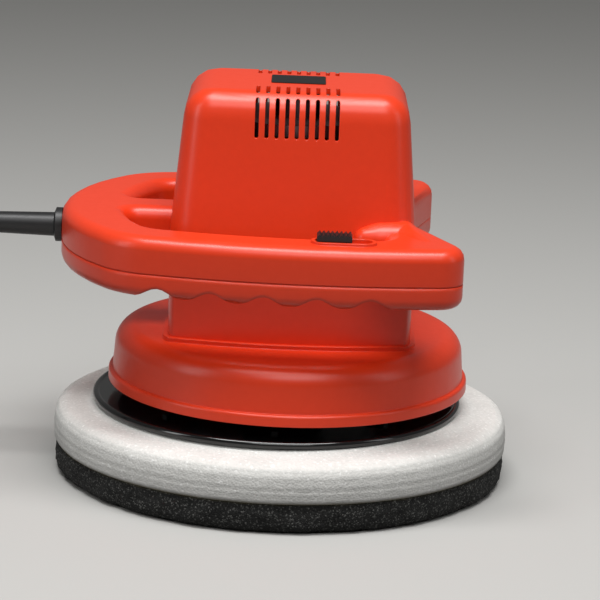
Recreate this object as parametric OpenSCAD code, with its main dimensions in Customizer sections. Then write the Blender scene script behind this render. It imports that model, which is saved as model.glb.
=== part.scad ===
// Light dual action polisher: motor cover, ring handle, skirt and an orbiting foam pad.
// Millimetres, +Z up. The origin is on the motor axis, at the working face of the pad.
// The grip with the switch faces -Y and the cord leaves at -X.

/* [Pad] */
// Diameter of the foam pad
pad_d = 180; // [176:1:184]
// Thickness of the dark foam
foam_dark_t = 12; // [11:0.5:13]
// Thickness of the white foam
foam_white_t = 16; // [15:0.5:17]
// Rounding of the foam's outer edges
foam_edge_r = 4; // [3:0.5:5]
// Diameter of the backing plate
plate_d = 146; // [143:1:149]
// Thickness of the backing plate
plate_t = 2.5; // [2:0.25:3]
// Distance of the pad axis from the motor axis
orbit = 4; // [3.5:0.25:4.5]
// Offset of the foam on the plate, as it was stuck on
foam_off = 1.8; // [0:0.2:2]

/* [Skirt] */
// Diameter of the skirt over its rim
skirt_d = 142; // [140:1:145]
// Height of the skirt
skirt_h = 22; // [21:0.5:24]
// Height of the thicker rim
skirt_rim_h = 4.4; // [4:0.2:5]
// Step from the rim in to the wall
skirt_rim_step = 1.6; // [1:0.2:2]
// Radius of the rounded shoulder
skirt_shoulder_r = 8; // [6:0.5:9]
// Gap between the backing plate and the rim
skirt_gap = 5.5; // [5:0.5:7]

/* [Housing] */
// Wall thickness of the mouldings
wall = 2.5; // [2.3:0.1:2.7]
// Width of the neck
neck_w = 96; // [95:0.5:97.5]
// Depth of the neck at its middle
neck_d = 77; // [76:0.5:79]
// Radius of the bowed faces of the neck
neck_bow_r = 190; // [180:5:220]
// Height of the neck, up to the parting plane
neck_h = 33.5; // [33:0.5:35]
// Corner radius of the neck
neck_r = 13; // [12:0.5:14]
// Height of the motor cover above the parting plane
cover_h = 64; // [63:0.5:67]
// Width of the cover at its top
cover_top_w = 86.5; // [85:0.5:88]
// Depth of the cover at its top
cover_top_d = 66; // [65:0.5:69]
// Radius of the cover's rounded top edges
cover_r = 11; // [10:0.5:12]
// How far the rounding of the long top edges reaches in
cover_edge = 7.5; // [7:0.5:8.5]
// Length of the rating plate
rating_l = 21; // [18:0.5:23]

/* [Handle] */
// Width of the handle bar
bar_w = 21; // [20.5:0.5:22]
// Width of the handle's arc at the cord side
arc_w = 24.5; // [22:0.5:26]
// Height of the bar above the parting plane
bar_top_h = 14; // [13.5:0.5:15]
// Height of the bar below the parting plane
bar_low_h = 9; // [8.5:0.5:10]
// Rounding of the bar's top edges
bar_top_r = 5; // [4.5:0.25:5]
// Rounding of the bar's bottom edges
bar_low_r = 4; // [3:0.5:4.5]
// Reach of the handle on the cord side
ring_left = 90.5; // [89.5:0.5:92]
// Half of the depth over both grips
ring_half = 75.5; // [75:0.5:77]
// Outer radius of the bowed grips
grip_r = 260; // [240:5:300]
// Outer radius of the corners at the cord side
corner_r = 32; // [30:1:36]
// Angle at which a grip turns into its corner
grip_a = 104.25; // [103.5:0.25:105]
// Centre of the front grip's rounded end, from the axis
grip_end_x = 53.5; // [52.5:0.5:55]
// Centre of the rear grip's rounded end, from the axis
rear_end_x = 46.5; // [46:0.5:48]
// Pitch of the finger waves
wave_pitch = 19.8; // [19:0.2:20.4]
// Depth of the finger waves
wave_h = 4; // [3.6:0.1:4.3]

/* [Vents] */
// Vent slots on each long side
vent_count = 9; // [5:1:11]
// Pitch of the slots
vent_pitch = 3.8; // [3.4:0.1:4]
// Width of a slot
vent_w = 1.5; // [1.2:0.1:1.8]
// Height of a slot on the face
vent_h = 15; // [12:0.5:16]

/* [Switch] */
// Length of the slide button
button_l = 13; // [12:0.5:13.5]
// Width of the slide button
button_w = 7; // [6.5:0.25:7]
// Travel of the slide button
switch_travel = 7; // [5:0.5:7.5]

/* [Motor] */
// Diameter of the stator core
stator_d = 56; // [55:0.5:57]
// Height of the core stacks
stack_h = 30; // [28:1:30]
// Diameter of the armature core
armature_d = 30; // [29:0.5:30]
// Diameter of the motor shaft
shaft_d = 8; // [7.6:0.2:8]
// Diameter of the cooling fan
fan_d = 50; // [46:1:51]

/* [Cord] */
// Diameter of the mains cord
cord_d = 6.5; // [6:0.1:6.6]
// Turns of the coil in each layer
coil_turns = 3; // [2:1:3]

/* [Hidden] */
$fn = 64;

// Colours
red = [0.84, 0.24, 0.13];
black = [0.06, 0.06, 0.07];
steel = [0.62, 0.63, 0.66];
dark_steel = [0.36, 0.37, 0.40];
copper = [0.72, 0.40, 0.20];
grey = [0.45, 0.46, 0.48];

// Fits: running gap of the shaft, gap between pieces that pass each other, gap of the sliding button
running_gap = 0.03;
free_gap = 0.3;
cut = 1;

// Levels from the floor up
z_glue = foam_dark_t;
z_plate = z_glue + foam_white_t;
plate_rim_h = plate_t + 0.5;
z_rim = z_plate + plate_rim_h + skirt_gap;
z_skirt = z_rim + skirt_h;
z_seam = z_skirt + neck_h;
z_top = z_seam + cover_h;
z_bar = z_seam + bar_top_h;
z_low = z_seam - bar_low_h;

// Skirt
skirt_r = skirt_d/2;
skirt_wall_r = skirt_r - skirt_rim_step;
skirt_draft = 0.8;
skirt_rim_r = 1.3;
skirt_shoulder_x = skirt_wall_r - skirt_draft;
skirt_hole_r = 20;
collar_t = 2;
collar_h = 1.6;

// Cover and neck, which is set in at both ends
cover_d = neck_d - 2;
neck_in = 1.2;
vent_top_gap = 2.4;
vent_in = cover_top_d/2 - 14;
stub_l = 12.5;
stub_gap = 4.8;
stub_y = cover_top_d/2 - stub_gap - stub_l/2;
rating_w = rating_l - 2;
rating_t = 0.8;
rating_sink = 0.5;
rating_y = 2;

// Plan of the handle: a grip arc centred at (grip_cx, -grip_c), a corner arc and the arc at the cord side
grip_cx = 10;
grip_c = grip_r - ring_half;
corner_x = grip_cx + (grip_r - corner_r)*cos(grip_a);
corner_y = (grip_r - corner_r)*sin(grip_a) - grip_c;
corner_in = corner_x + ring_left;
left_r = (corner_in^2 + corner_y^2 - corner_r^2)/(2*(corner_in - corner_r));
left_cx = left_r - ring_left;
left_a = atan2(corner_y, corner_x - left_cx);
grip_mid = [grip_cx, -grip_c];
web_to = [32, 10.5];
web_trim = 0.05;
bridge_to = 40;
edge_steps = 4;
corner_steps = 6;
crown_r = 3;
pocket_h = 2;
pocket_z = z_seam - pocket_h;

// Chamfer along the parting plane: a fine groove between the halves that fades out at the grip ends
seam_c = 0.4;
seam_fade = 4;

// Holes of the handle: arc at the cord side, and fillets where a web meets its grip and the bridge that arc
hole_corner_r = corner_r - bar_w;
hole_in = corner_in - arc_w;
hole_left_r = (hole_in^2 + corner_y^2 - hole_corner_r^2)/(2*(hole_in - hole_corner_r));
hole_left_cx = hole_left_r + arc_w - ring_left;
hole_left_a = atan2(corner_y, corner_x - hole_left_cx);
hole_web_r = 7;
hole_tip_r = 5;
hole_tip_y = bar_w/2 + hole_tip_r;
hole_tip_x = hole_left_cx - sqrt((hole_left_r - hole_tip_r)^2 - hole_tip_y^2);
hole_tip_a = atan2(hole_tip_y, hole_tip_x - hole_left_cx);

// Balls under the skin of a crest: distance from the grip end, radius, and height above the bar
crest_balls = [[8, 5, 0.3], [22, 5, 1.5], [32, 7, 3.2]];

// Finger waves
wave_count = 5;
wave_mid_x = -9.9;
wave_x0 = wave_mid_x - wave_pitch*(wave_count - 1)/2;
wave_steps = 10;
wave_z = z_low + wave_h/2;
wave_from_y = 50;
wave_len = 45;

// Housing screws
screw_d = 4;
screw_head_d = 7.6;
screw_head_h = 2.6;
boss_d = 9;
boss_a = 22;
boss_ring_r = left_r - bar_w/2;
boss_pts = concat([for (s = [-1, 1]) [left_cx - boss_ring_r*cos(boss_a), s*boss_ring_r*sin(boss_a)]],
    [end_at(rear_end_x)], flip([end_at(grip_end_x)]));
sink_h = 2.5;
housing_screw_l = bar_low_h + 6.5;

// Skirt and motor screws
corner_boss_d = 8.6;
corner_boss_x = neck_w/2 - 8.75;
corner_boss_y = neck_d/2 - 9.5;
corner_boss_h = 14;
bracket_w = 80;
bracket_d = 44;
bracket_t = 3.5;
bracket_screw = [34, 17];
bracket_boss_h = 7.5;
low_screw_l = 8;

// Ball bearings: gap outside the balls, depth of their track in the inner ring, and wall of the outer ring
ball_gap = 0.3;
ball_seat = 0.2;
race_wall = 1.7;

// Motor levels
bearing_h = 7;
bearing_ball_r = 1.5;
bearing_pitch_r = 7.5;
bearing_race_d = 2*(bearing_pitch_r + bearing_ball_r + ball_gap);
bearing_d = bearing_race_d + 2*race_wall;
bearing_inner_d = 2*(bearing_pitch_r - bearing_ball_r + ball_seat);
bearing_balls = 7;
bearing_z = z_skirt + 2.5;
bearing_boss_d = 30;
bearing_boss_h = 11.5;
fan_h = 8;
fan_z = z_skirt + 13;
fan_plate_t = 1.5;
fan_blades = 9;
stack_rise = 29.5;
stack_z = z_skirt + stack_rise;
stack_top = stack_z + stack_h;
stator_in_r = stator_d/2 - 4;
pole_r = armature_d/2 + 0.6;
pole_shoe_t = 2.7;
pole_half_a = 50;
pole_w = 14;
ear_x = stator_d/2 + 3;
ear_r = 5;
pillar_d = 9;
coil_t = 3.4;
coil_y0 = pole_r + pole_shoe_t + free_gap;
coil_y1 = coil_y0 + 2.8;
slot_count = 10;
slot_w = 2.2;
slot_in_r = 8;
winding_h = 6.5;
winding_in_r = 5;
winding_out_r = armature_d/2 - 1.8;
comm_z = stack_top + 9;
comm_h = 11;
comm_r = 10;
comm_bars = 12;
cup_h = 22;
cup_z = stack_top + cup_h;
cup_t = 3;
cup_wall_r = stator_in_r + 0.2;
bush_d = 14;
bush_h = 8;
bush_z = cup_z + 1;
bush_boss_r = 10;
bush_boss_top = bush_z + bush_h + 1;
cup_window = [24, 12];
ear_t = 4;
bolt_l = 46;

// Brush gear
brush_z = comm_z + comm_h/2;
brush_w = 5;
brush_h = 8;
holder_wall = 1.5;
holder_x0 = comm_r + 1.5;
holder_x1 = 31;
brush_x1 = 24;
cap_x0 = 30;
cap_t = 2;
spring_wire_r = 0.4;
spring_r = 1.8;
spring_turns = 5;

// Orbit drive
pad_x = -orbit;
pad_bearing_h = 8;
pin_d = 10;
pad_ball_r = 1.9;
pad_pitch_r = 9.1;
pad_race_d = 2*(pad_pitch_r + pad_ball_r + ball_gap);
pad_bearing_d = pad_race_d + 2*race_wall;
pad_inner_d = 2*(pad_pitch_r - pad_ball_r + ball_seat);
pad_balls = 9;
pad_bearing_z = z_plate + 5;
pad_bearing_top = pad_bearing_z + pad_bearing_h;
pin_shoulder_d = 14;
hub_z = pad_bearing_top + 5;
hub_top = z_skirt - 4.5;
hub_h = hub_top - hub_z;
hub_r = 17;
shaft_z0 = hub_z + 1.5;
shaft_z1 = bush_z + bush_h + 0.5;
weight_r = 36;
weight_half_a = 70;
weight_h = hub_h - 1;
weight_screw_y = 8;
weight_screw_x0 = 11;
weight_screw_x1 = 31;
weight_head_h = 3;
pad_screw_d = 5;
pad_screw_head_d = 8.5;
pad_screw_head_h = 3.5;
pad_screw_l = 10;
washer_over = 0.1;
washer_d = pad_inner_d + 2*washer_over;
washer_t = 1;
plate_hub_d = 38;
plate_hub_h = pad_bearing_top + 3 - z_plate;
plate_hole_d = 20;
plate_edge_r = plate_rim_h/2;
plate_rib_t = 2.5;
plate_rib_x = 60;
plate_rib_h = 9;
plate_ribs = 8;
circlip_t = 1.1;
circlip_d = pad_bearing_d + 1.4;
circlip_cover = 0.5;
circlip_in_d = pad_race_d - 2*circlip_cover;
circlip_gap = 6;

// Switch
switch_mid_x = 19;
switch_in = 11.5;
switch_y = -(ring_half - switch_in);
rim_h = 1;
rim_w = 1.5;
recess_l = button_l + switch_travel + 1.5;
recess_w = button_w + 0.6;
recess_h = 0.8;
stem_l = 4;
stem_w = 2.4;
button_x = switch_mid_x - switch_travel/2;
cap_gap = 0.3;
cap_w = button_w + 1;
cap_h = 1.6;
rib_count = 8;
rib_h = 1;
body_l = 24;
body_w = 9;
body_h = 10;
body_z = z_bar - wall - body_h;
body_pocket_h = 4;
stem_z = z_bar - wall - body_pocket_h + 1;

// Cord entry
cord_z = z_seam + 3.5;
cord_r = cord_d/2;
guard_r = 4.7;
guard_tip_r = 4.1;
guard_flange_r = 6.7;
guard_flange_t = 2.5;
guard_l = 28;
clamp_in = 11;
clamp_x = ring_left - clamp_in;
clamp_l = 8;
clamp_w = 22;
clamp_t = 3.6;
clamp_z = cord_z + 2;
clamp_screw_d = 3;
clamp_screw_y = 8;
clamp_post_d = 6.4;
clamp_screw_l = 9;
saddle_w = 9.6;

// Coil on the floor, beside the machine
tie_t = 1.2;
tie_w = 12;
tie_gap = 0.3;
coil_z = tie_t + tie_gap + cord_r;
coil_pitch = cord_d + 1.5;
coil_layer = cord_d + 0.9;
coil_out_r = 50;
coil_in_r = coil_out_r - coil_turns*coil_pitch;
coil_rise = 0.25;
coil_c = [-190, 44];
coil_steps = 24;
coil_total = 2*coil_turns - 0.5;
coil_end_y = coil_c[1] - cord_d;

// Lead from the clamp to the coil, and tail from the coil to the plug
lead_in_x = -70;
lead_points = [[lead_in_x, 0, cord_z], [-95, 0, cord_z], [-120, 0, cord_z], [-138, 0, 93], [-155, -2, 86],
    [-170, -5, 73], [-182, -8, 56], [-192, -11, 38], [-202, -14, 22], [-213, -16, 11], [-226, -14, 6],
    [-235.5, -5, coil_z], [-240, 10, coil_z], [-240, 25, coil_z], [-240, coil_end_y, coil_z]];
tail_x = coil_c[0] + coil_r(coil_total);
tail_z = coil_z + coil_layer;
plug_t = 13.7;
plug_y = -14;
tail_points = [[tail_x, coil_end_y, tail_z], [tail_x, 26, tail_z], [tail_x, 16, 11], [tail_x, 4, 8],
    [tail_x, -6, plug_t/2], [tail_x, plug_y, plug_t/2]];
tube_sides = 10;
route_steps = 2;

// Plug
plug_w = 35;
plug_l = 34;
plug_nose_w = 14;
plug_relief_l = 14;
pin_plug_d = 4;
pin_plug_l = 19;
pin_plug_in = 6;
pin_root_d = 3;
pin_root_l = 0.5;
pin_spacing = 18.6;

// Wires: one along the inner side of the handle to the switch, one up inside the cover to a brush
wire_r = 1.1;
wire_sides = 8;
wire_gap = 0.6;
wire_z = cord_z + 1.5;
wire_y = 1.6;
wire_in = bar_w - wall - wire_r - wire_gap;
wire_up_x = neck_w/2 - wall - 4.5;
wire_from_a = 94;
wire_to_a = 171;
brush_end_x = holder_x1 + cap_t;
wire_lane = concat(arc(grip_mid, grip_r - wire_in, wire_from_a, grip_a, 4, 0),
    arc([corner_x, corner_y], corner_r - wire_in, grip_a, left_a, 4),
    arc([left_cx, 0], left_r - wire_in, left_a, wire_to_a, 3));
wire_switch = concat([[lead_in_x, -wire_y, cord_z]], level(flip(wire_lane), wire_z),
    [[switch_mid_x - body_l/2, switch_y, wire_z]]);
wire_motor = [[lead_in_x, wire_y, cord_z], [lead_in_x + 10, 2, wire_z], [-wire_up_x - 7, 3, wire_z + 1],
    [-wire_up_x - 1, 5, wire_z + 6], [-wire_up_x + 0.5, 6, wire_z + 16],
    [-brush_end_x - 5.5, 5, brush_z - 8.5], [-brush_end_x - 3.5, 2, brush_z - 2.5],
    [-brush_end_x, 0, brush_z]];

// Suppression capacitor in the rear grip
cap_size = [16, 8, 9];

// Vector and route helpers
function unit(v) = v/norm(v);
function tangent(p, i) = unit(p[min(i + 1, len(p) - 1)] - p[max(i - 1, 0)]);
function spline(a, b, c, d, t) =
    0.5*(2*b + (c - a)*t + (2*a - 5*b + 4*c - d)*t^2 + (3*b - a - 3*c + d)*t^3);
function at(p, i) = p[max(0, min(i, len(p) - 1))];
function route(p, steps) = concat(
    [for (i = [0:len(p) - 2], s = [0:steps - 1])
        spline(at(p, i - 1), at(p, i), at(p, i + 1), at(p, i + 2), s/steps)],
    [p[len(p) - 1]]);
function length(p) = len(p) < 2 ? 0 : sum_steps(p, 0);
function sum_steps(p, i) = i >= len(p) - 1 ? 0 : norm(p[i + 1] - p[i]) + sum_steps(p, i + 1);

// Coil: in along the lower layer, up a layer, and out again along the upper one
function coil_r(u) = coil_in_r + coil_pitch*abs(u - coil_turns);
function coil_lift(u) = u < coil_turns ? 0 : coil_layer*min(1, (u - coil_turns)/coil_rise);
function coil_at(u) = [coil_c[0] + coil_r(u)*cos(180 - 360*u), coil_c[1] + coil_r(u)*sin(180 - 360*u),
    coil_z + coil_lift(u)];
coil_loop = [for (i = [0:coil_total*coil_steps]) coil_at(i/coil_steps)];
coil_points = concat([[coil_loop[0][0], coil_end_y, coil_z]], coil_loop, [[tail_x, coil_end_y, tail_z]]);
coil_least_gap = min([for (i = [0:len(coil_loop) - 1], j = [i + coil_steps/2:1:len(coil_loop) - 1])
    norm(coil_loop[i] - coil_loop[j])]) - cord_d;
echo(coil_least_gap = coil_least_gap);
echo(cord_length = length(route(lead_points, route_steps)) + length(coil_points) + length(tail_points));

// Closed skin over rings of points that follow each other
module skin_over(points, sides) {
    n = len(points)/sides;
    first = [for (j = [0:sides - 1]) j];
    last = [for (j = [sides - 1:-1:0]) (n - 1)*sides + j];
    skin = [for (i = [0:n - 2], j = [0:sides - 1]) let (a = i*sides + j, b = i*sides + (j + 1)%sides)
        each [[a, a + sides, b + sides], [a, b + sides, b]]];
    polyhedron(points, concat([first], skin, [last]), convexity = 10);
}

// Tube swept along a route, square to it at both ends
module tube(p, r, sides, ref = [0, 0, 1]) {
    points = [for (i = [0:len(p) - 1]) let (t = tangent(p, i), u = unit(cross(ref, t)), v = cross(t, u))
        for (j = [0:sides - 1]) p[i] + r*(cos(360*j/sides)*u + sin(360*j/sides)*v)];
    skin_over(points, sides);
}

// Flat shapes
module rounded_rect(w, d, r) {
    square([w - 2*r, d], center = true);
    square([w, d - 2*r], center = true);
    for (x = [-1, 1], y = [-1, 1])
        translate([x*(w/2 - r), y*(d/2 - r)])
            circle(r);
}

module slot(l, w) {
    square([l - w, w], center = true);
    for (s = [-1, 1])
        translate([s*(l - w)/2, 0])
            circle(w/2);
}

module neck_outline(t) {
    intersection() {
        rounded_rect(neck_w - 2*neck_in - 2*t, neck_d + 2 - 2*t, neck_r - t);
        translate([0, neck_bow_r - neck_d/2])
            circle(neck_bow_r - t);
        translate([0, neck_d/2 - neck_bow_r])
            circle(neck_bow_r - t);
    }
}

// Solids that repeat
module ring(d_out, d_in, h) {
    difference() {
        cylinder(d = d_out, h = h);
        translate([0, 0, -cut])
            cylinder(d = d_in, h = h + 2*cut);
    }
}

module screw(d, l, head_d, head_h) {
    cylinder(d = d, h = l);
    difference() {
        translate([0, 0, -head_h])
            cylinder(d = head_d, h = head_h);
        for (a = [0, 90])
            rotate([0, 0, a])
                translate([0, 0, -head_h])
                    cube([head_d*0.55, head_d*0.12, head_h], center = true);
    }
}

module balls(r, pitch_r, count) {
    for (i = [0:count - 1])
        rotate([0, 0, i*360/count])
            translate([pitch_r, 0, 0])
                sphere(r, $fn = 24);
}

// Points of a rounded corner, from angle a0 to a1
function corner(c, r, a0, a1) = [for (i = [0:edge_steps])
    let (a = a0 + (a1 - a0)*i/edge_steps) [c[0] + r*cos(a), c[1] + r*sin(a)]];

// Section of the handle bar: flat side at y = -over, rounded side at y = h
module bar_section(w, h, r, over) {
    polygon(concat([[-w/2, -over], [w/2, -over]], corner([w/2 - r, h - r], r, 0, 90),
        corner([r - w/2, h - r], r, 90, 180)));
}

// Outlines: points of an arc, the mirrored outline, the outline set in by d, and the outline at height z
function arc(c, r, a0, a1, n, skip = 1) = [for (i = [skip:n])
    let (a = a0 + (a1 - a0)*i/n) [c[0] + r*cos(a), c[1] + r*sin(a)]];
function flip(p) = [for (i = [len(p) - 1:-1:0]) [p[i][0], -p[i][1]]];
function left_of(v) = [-v[1], v[0]];
function inset(p, d) = [for (i = [0:len(p) - 1]) let (n = len(p),
    n1 = left_of(unit(p[i] - p[(i + n - 1)%n])), n2 = left_of(unit(p[(i + 1)%n] - p[i])), m = unit(n1 + n2))
        p[i] + m*d/(m*n1)];
function level(p, z) = [for (q = p) [q[0], q[1], z]];

// Grip end at x: its angle on the grip's arc, its centre, and the angle and direction of its web
function end_angle(x) = acos((x - grip_cx)/(grip_r - bar_w/2));
function end_at(x) = [x, (grip_r - bar_w/2)*sin(end_angle(x)) - grip_c];
function web_angle(x) = let (v = web_to - end_at(x)) atan2(v[1], v[0]);
function web_dir(x) = unit(web_to - end_at(x));

// Half of the ring's plan: grip end, grip, corner and cord-side arc
function half_outer(x) = concat(arc(end_at(x), bar_w/2, web_angle(x) + 90, end_angle(x), 10, 0),
    arc(grip_mid, grip_r, end_angle(x), grip_a, 12), arc([corner_x, corner_y], corner_r, grip_a, left_a, 8),
    arc([left_cx, 0], left_r, left_a, 180, 6));

// Half of the plan's hole, with the centre of the fillet where the web meets the grip
function web_fillet(x) = let (dir = web_dir(x), along = web_from(x)*dir)
    grip_mid + web_from(x)
        - dir*(along + sqrt(along^2 - web_from(x)*web_from(x) + (grip_r - bar_w - hole_web_r)^2));
function web_from(x) = end_at(x) - left_of(web_dir(x))*(bar_w/2 + hole_web_r) - grip_mid;
function half_hole(x) = let (c = web_fillet(x), a = atan2(c[1] + grip_c, c[0] - grip_cx))
    concat([web_to - left_of(web_dir(x))*bar_w/2], arc(c, hole_web_r, web_angle(x) + 90, a, 6, 0),
        arc(grip_mid, grip_r - bar_w, a, grip_a, 10),
        arc([corner_x, corner_y], hole_corner_r, grip_a, hole_left_a, 6),
        arc([hole_left_cx, 0], hole_left_r, hole_left_a, hole_tip_a, 4),
        arc([hole_tip_x, hole_tip_y], hole_tip_r, hole_tip_a, 270, 6), [[-bridge_to, bar_w/2]]);

// Side of a web that faces away from its hole
function web_edge(x) = let (side = web_to + left_of(web_dir(x))*(bar_w/2 - web_trim))
    [side - web_dir(x)*ring_left, side];

front_outer = flip(half_outer(grip_end_x));
outer_outline = concat(half_outer(rear_end_x), [for (i = [1:len(front_outer) - 1]) front_outer[i]]);
outer_last = len(outer_outline) - 1;
seam_inset = inset(outer_outline, seam_c);
seam_outline = [for (i = [0:outer_last]) let (w = min(1, i/seam_fade, (outer_last - i)/seam_fade))
    outer_outline[i]*(1 - w) + seam_inset[i]*w];
rear_hole = half_hole(rear_end_x);
front_hole = flip(half_hole(grip_end_x));
open_side = concat(flip(web_edge(grip_end_x)), web_edge(rear_end_x));

// Plate of height h over the outline, with its upper edge rounded by r
module ring_plate(h, r) {
    crown = [for (i = [0:edge_steps]) let (a = 90*i/edge_steps)
        each level(inset(outer_outline, r*(1 - cos(a))), h - r + r*sin(a))];
    skin_over(concat(level(seam_outline, 0), level(outer_outline, seam_c), crown), len(outer_outline));
}

// Hole that flares at its upper edge
module ring_hole(p, h, r) {
    flare = [for (i = [0:edge_steps]) let (a = 90*i/edge_steps)
        each level(inset(p, -r*(1 - cos(a))), h - r + r*sin(a))];
    skin_over(concat(level(p, -cut), flare, level(inset(p, -r), h + cut)), len(p));
}

// Both grips, the cord-side arc, the webs and the bridge bar, from height 0 up to h
module bars(h, r) {
    difference() {
        ring_plate(h, r);
        ring_hole(rear_hole, h, r);
        ring_hole(front_hole, h, r);
        ring_hole(open_side, h, r);
    }
}

module bar_hollows(h) {
    translate([0, 0, -cut])
        linear_extrude(h + cut)
            difference() {
                polygon(inset(outer_outline, wall));
                polygon(inset(rear_hole, -wall));
                polygon(inset(front_hole, -wall));
                polygon(inset(open_side, -wall));
            }
}

module upper_half() {
    translate([0, 0, z_seam])
        children();
}

module lower_half() {
    translate([0, 0, z_seam])
        mirror([0, 0, 1])
            children();
}

// Rounded rectangle as a ring of points at height z
function rect_ring(w, d, r, z) = [for (q = [0:3], i = [0:corner_steps])
    let (a = 90*(q + i/corner_steps), x = sign(cos(90*q + 45)), y = sign(sin(90*q + 45)))
        [x*(w/2 - r) + r*cos(a), y*(d/2 - r) + r*sin(a), z]];

// Tapered cover with rounded corners and top edges, set in by t and carried down by over
module cover_solid(t, over) {
    r = cover_r - t;
    crown = [for (i = [0:edge_steps]) let (a = 90*i/edge_steps, in_x = cover_r - r*cos(a),
        in_y = cover_edge - (cover_edge - t)*cos(a))
            each rect_ring(cover_top_w - 2*in_x, cover_top_d - 2*in_y, crown_r + (cover_edge - t)*cos(a),
                z_top - cover_r + r*sin(a))];
    skin_over(concat(rect_ring(neck_w - 2*t, cover_d - 2*t, neck_r - t, z_seam - over), crown),
        4*(corner_steps + 1));
}

// Crest of a web, which rises from its grip end to the cover
module web_crest(x) {
    hull()
        for (b = crest_balls)
            translate(concat(end_at(x) + web_dir(x)*b[0], z_bar + b[2] - b[1]))
                sphere(b[1], $fn = 24);
}

module vents() {
    for (i = [0:vent_count - 1], m = [0, 1])
        mirror([0, m, 0])
            translate([(i - (vent_count - 1)/2)*vent_pitch, 0, 0]) {
                translate([0, -vent_in, z_top - vent_top_gap - vent_h/2])
                    rotate([90, 0, 0])
                        linear_extrude(cover_d)
                            rotate([0, 0, 90])
                                slot(vent_h, vent_w);
                translate([0, -stub_y, z_top - cover_r])
                    linear_extrude(2*cover_r)
                        rotate([0, 0, 90])
                            slot(stub_l, vent_w);
            }
}

module cord_hole() {
    translate([-ring_left - cut, 0, cord_z])
        rotate([0, 90, 0])
            cylinder(r = guard_r, h = wall + 2*cut);
}

// Seat of the guard's inner flange, in the floor of the handle
module flange_seat() {
    translate([wall - ring_left, 0, cord_z])
        rotate([0, 90, 0])
            cylinder(r = guard_flange_r, h = guard_flange_t + free_gap);
}

module switch_place(z) {
    translate([switch_mid_x, switch_y, z])
        children();
}

module upper_housing() {
    color(red) {
        difference() {
            union() {
                upper_half()
                    bars(bar_top_h, bar_top_r);
                cover_solid(0, 0);
                web_crest(rear_end_x);
                mirror([0, 1, 0])
                    web_crest(grip_end_x);
                switch_place(z_bar - recess_h)
                    linear_extrude(recess_h + rim_h)
                        slot(recess_l + 2*rim_w, recess_w + 2*rim_w);
            }
            upper_half()
                bar_hollows(bar_top_h - wall);
            cover_solid(wall, cut);
            vents();
            cord_hole();
            switch_place(z_bar - recess_h)
                linear_extrude(recess_h + rim_h + cut)
                    slot(recess_l, recess_w);
            switch_place(z_bar - wall - cut)
                linear_extrude(wall + 2*cut)
                    slot(stem_l + switch_travel + 2*free_gap + stem_w, stem_w + 2*free_gap);
            translate([0, rating_y, z_top - rating_sink])
                linear_extrude(cut)
                    rounded_rect(rating_l, rating_w, 1);
        }
        for (p = boss_pts)
            translate([p[0], p[1], z_seam])
                ring(boss_d, screw_d, bar_top_h - wall + 0.5);
    }
}

module wave_outline() {
    from = wave_x0 - wave_pitch/2;
    polygon(concat([[from, z_low - wave_h]], [for (i = [0:wave_count*wave_steps])
        [from + i*wave_pitch/wave_steps, wave_z - wave_h/2*cos(360*i/wave_steps)]],
        [[from + wave_count*wave_pitch, z_low - wave_h]]));
}

module finger_waves() {
    for (m = [0, 1])
        mirror([0, m, 0])
            translate([0, -wave_from_y, 0])
                rotate([90, 0, 0])
                    linear_extrude(wave_len)
                        wave_outline();
}

module at_corners(x, y) {
    for (i = [-1, 1], j = [-1, 1])
        translate([i*x, j*y, 0])
            children();
}

module clamp_posts() {
    for (s = [-1, 1])
        translate([-clamp_x, s*clamp_screw_y, pocket_z])
            ring(clamp_post_d, clamp_screw_d, clamp_z - pocket_z);
    difference() {
        translate([-clamp_x - clamp_l/2, -saddle_w/2, pocket_z])
            cube([clamp_l, saddle_w, cord_z - pocket_z]);
        translate([-clamp_x - clamp_l, 0, cord_z])
            rotate([0, 90, 0])
                cylinder(r = cord_r, h = 2*clamp_l);
    }
}

module lower_housing() {
    color(red) {
        difference() {
            union() {
                translate([0, 0, z_skirt])
                    linear_extrude(neck_h)
                        neck_outline(0);
                lower_half()
                    bars(bar_low_h, bar_low_r);
            }
            translate([0, 0, z_skirt - cut])
                linear_extrude(neck_h + 2*cut)
                    neck_outline(wall);
            lower_half()
                bar_hollows(pocket_h);
            finger_waves();
            cord_hole();
            flange_seat();
            for (p = boss_pts)
                translate([p[0], p[1], z_low - cut])
                    cylinder(d = screw_head_d + free_gap, h = sink_h + cut);
            for (p = boss_pts)
                translate([p[0], p[1], z_low])
                    cylinder(d = screw_d + free_gap, h = bar_low_h + cut);
        }
        for (p = boss_pts)
            translate([p[0], p[1], pocket_z])
                ring(boss_d, screw_d + free_gap, pocket_h);
        at_corners(corner_boss_x, corner_boss_y)
            translate([0, 0, z_skirt])
                ring(corner_boss_d, screw_d, corner_boss_h);
        clamp_posts();
    }
}

// Rim of the skirt with its rounded upper edge
skirt_rim = concat([[skirt_r, z_rim]],
    corner([skirt_r - skirt_rim_r, z_rim + skirt_rim_h - skirt_rim_r], skirt_rim_r, 0, 90));

// Half section of the skirt inside its rim, set in by t and carried down by over
module skirt_section(t, rim, over) {
    shoulder_z = z_skirt - skirt_shoulder_r;
    polygon(concat([[0, z_rim - over]], rim,
        [[skirt_wall_r - t, z_rim + skirt_rim_h], [skirt_shoulder_x - t, shoulder_z], [0, shoulder_z]]));
    translate([0, shoulder_z - cut])
        square([skirt_shoulder_x - skirt_shoulder_r, skirt_shoulder_r - t + cut]);
    intersection() {
        translate([skirt_shoulder_x - skirt_shoulder_r, shoulder_z])
            circle(skirt_shoulder_r - t);
        translate([0, shoulder_z - cut])
            square([skirt_r, 2*skirt_shoulder_r]);
    }
}

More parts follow.
